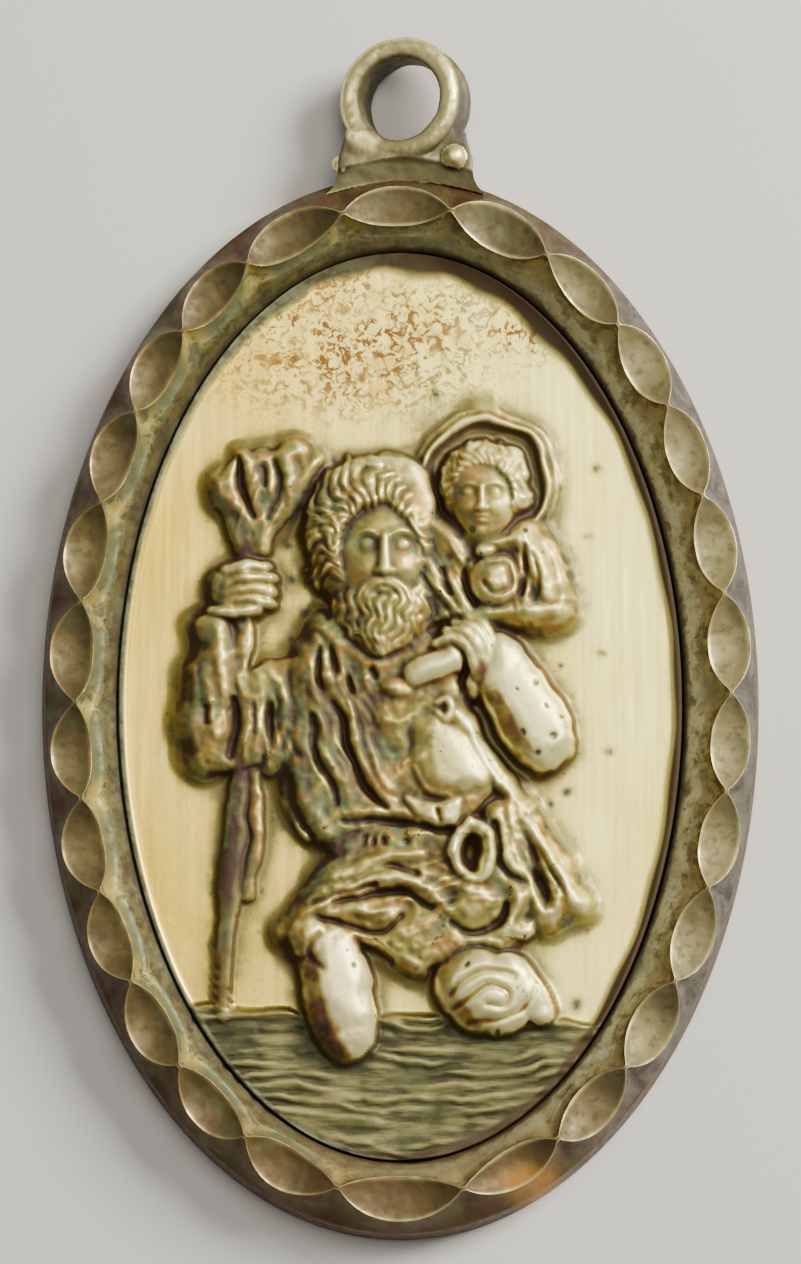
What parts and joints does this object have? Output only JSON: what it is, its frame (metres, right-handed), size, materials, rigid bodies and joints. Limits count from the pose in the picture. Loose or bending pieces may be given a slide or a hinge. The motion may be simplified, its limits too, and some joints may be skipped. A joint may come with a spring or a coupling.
{
  "type": "religious medal pendant",
  "caption": "Oval religious medal with a faceted frame, a soldered hanging loop and a raised relief of a bearded walker with a staff carrying a child through water.",
  "frame": {"origin": "middle of the oval body's flat back face, which the medal rests on", "axes": "+Z out of the front, +Y along the oval's long axis towards the hanging loop, +X to the right seen from the front"},
  "size_m": [0.0254, 0.0428, 0.003],
  "materials": {
    "frame_silver": "cast and hand-cut silver, tarnished olive brown with worn bright edges",
    "plaque_silver": "struck silver, warm cream field with vertical brushing, dark green and brown tarnish in the hollows"
  },
  "bodies": {
    "root": {"frame": "frame_silver", "relief_plaque": "plaque_silver"}
  },
  "joints": []
}
